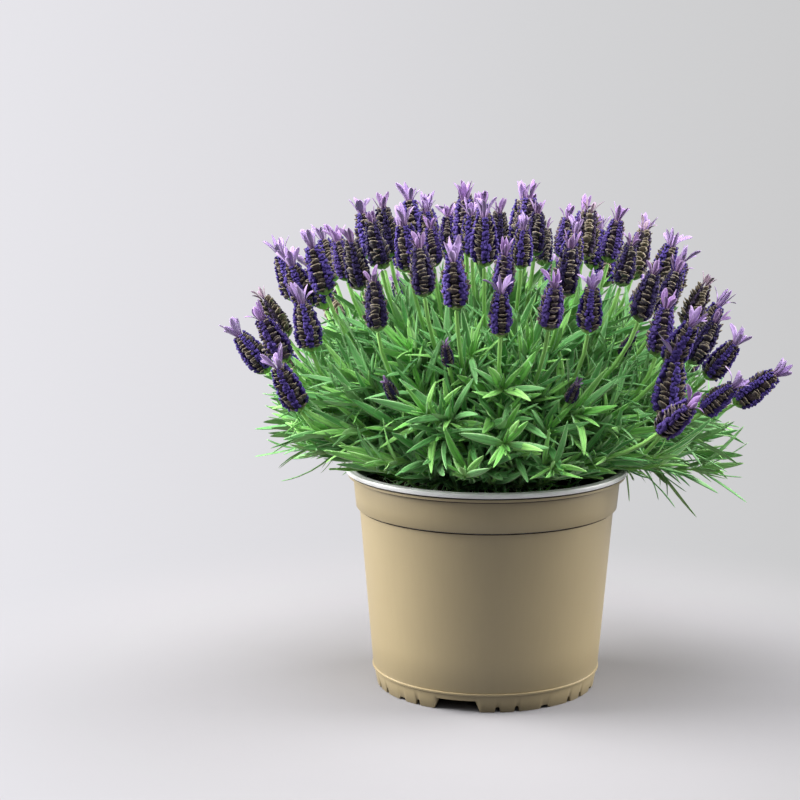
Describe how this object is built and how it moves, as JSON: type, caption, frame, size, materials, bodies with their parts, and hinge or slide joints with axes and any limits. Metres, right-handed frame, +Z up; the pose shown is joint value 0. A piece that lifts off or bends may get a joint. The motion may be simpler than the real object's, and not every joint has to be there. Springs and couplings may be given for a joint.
{
  "type": "potted lavender",
  "caption": "Bushy French lavender with violet tufted flower heads, growing in potting mix in a round plastic nursery pot with a rolled rim and a notched foot.",
  "frame": {"origin": "on the ground, under the middle of the whole object's box; the pot's own axis stands 19.5 mm to -X and 3.4 mm to -Y of it, because the plant leans out further to +X", "axes": "+Z up, -Y towards the side with the most flower heads low down, +X towards the side where the plant spreads furthest"},
  "size_m": [0.3208, 0.2898, 0.3031],
  "materials": {
    "pot": "satin",
    "mix": "matte",
    "bark": "matte",
    "stem": "matte",
    "leaf": "matte",
    "bloom": "matte",
    "faded_bloom": "matte"
  },
  "bodies": {
    "root": {"nursery_pot": "pot", "potting_mix": "mix", "woody_crown": "bark", "flower_stem_01": "stem", "flower_head_01": "bloom", "flower_stem_02": "stem", "flower_head_02": "bloom", "flower_stem_03": "stem", "flower_head_03": "bloom", "flower_stem_04": "stem", "flower_head_04": "bloom", "flower_stem_05": "stem", "flower_head_05": "bloom", "flower_stem_06": "stem", "flower_head_06": "faded_bloom", "flower_stem_07": "stem", "flower_head_07": "bloom", "flower_stem_08": "stem", "flower_head_08": "bloom", "flower_stem_09": "stem", "flower_head_09": "bloom", "flower_stem_10": "stem", "flower_head_10": "bloom", "flower_stem_11": "stem", "flower_head_11": "bloom", "flower_stem_12": "stem", "flower_head_12": "faded_bloom", "flower_stem_13": "stem", "flower_head_13": "bloom", "flower_stem_14": "stem", "flower_head_14": "bloom", "flower_stem_15": "stem", "flower_head_15": "bloom", "flower_stem_16": "stem", "flower_head_16": "bloom", "flower_stem_17": "stem", "flower_head_17": "bloom", "flower_stem_18": "stem", "flower_head_18": "bloom", "flower_stem_19": "stem", "flower_head_19": "faded_bloom", "flower_stem_20": "stem", "flower_head_20": "bloom", "flower_stem_21": "stem", "flower_head_21": "bloom", "flower_stem_22": "stem", "flower_head_22": "bloom", "flower_stem_23": "stem", "flower_head_23": "bloom", "leafy_shoot_01": "leaf", "leafy_shoot_02": "leaf", "leafy_shoot_03": "leaf", "leafy_shoot_04": "leaf", "leafy_shoot_05": "leaf", "leafy_shoot_06": "leaf", "leafy_shoot_07": "leaf", "leafy_shoot_08": "leaf", "leafy_shoot_09": "leaf", "leafy_shoot_10": "leaf"}
  },
  "joints": []
}
